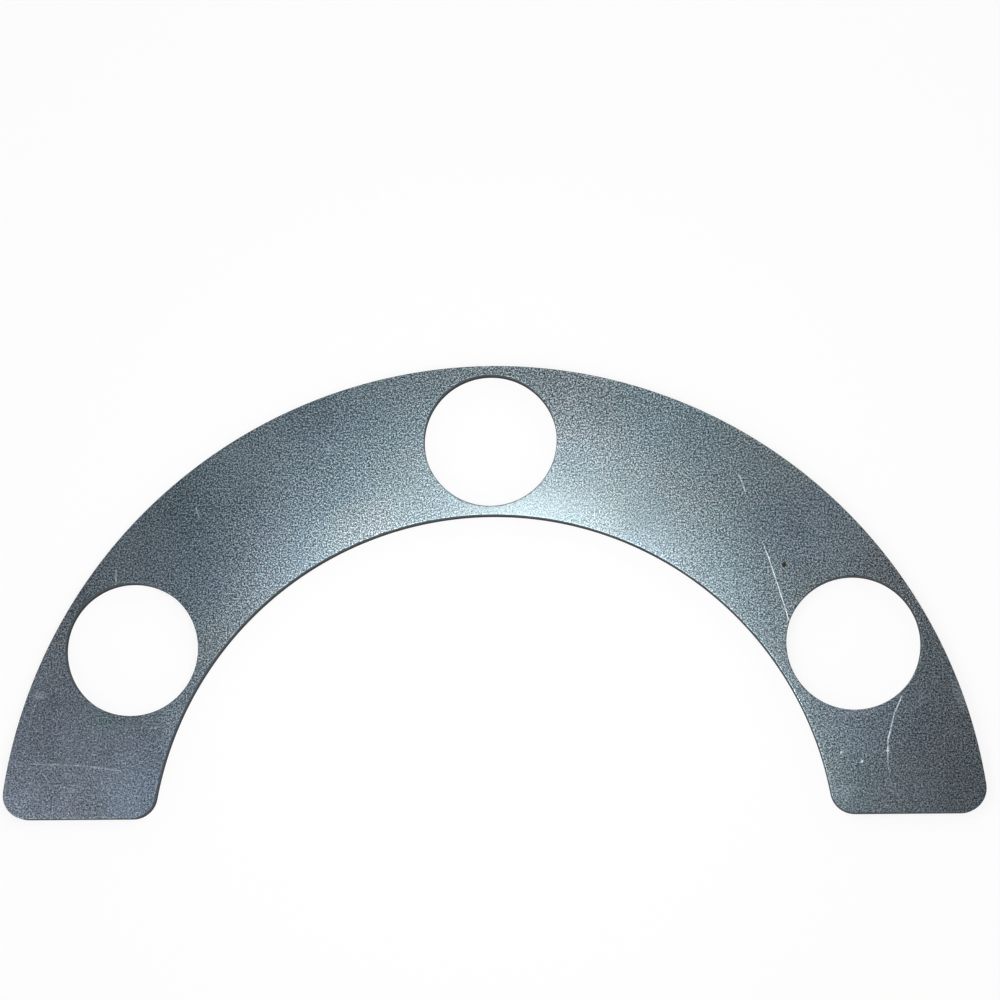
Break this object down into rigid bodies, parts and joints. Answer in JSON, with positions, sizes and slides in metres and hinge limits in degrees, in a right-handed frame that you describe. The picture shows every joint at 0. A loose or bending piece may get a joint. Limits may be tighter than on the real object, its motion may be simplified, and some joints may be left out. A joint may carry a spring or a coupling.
{
  "type": "half-ring shim",
  "caption": "Flat half-ring shim of plated sheet steel, with round bolt holes on its band and square-cut legs with rounded corners, packed between two flange faces.",
  "frame": {"origin": "centre of the plate's bounding box, on its lower face", "axes": "+X from the left leg to the right leg, +Y towards the crown of the arc, +Z out of the upper face, whose rim has the rolled edge"},
  "size_m": [0.1606, 0.0746, 0.003],
  "materials": {
    "shim_plate": "matt zinc plate with a fine mottled grain, light scratches and darker sheared edges"
  },
  "bodies": {
    "root": {"shim_plate": "shim_plate"}
  },
  "joints": []
}
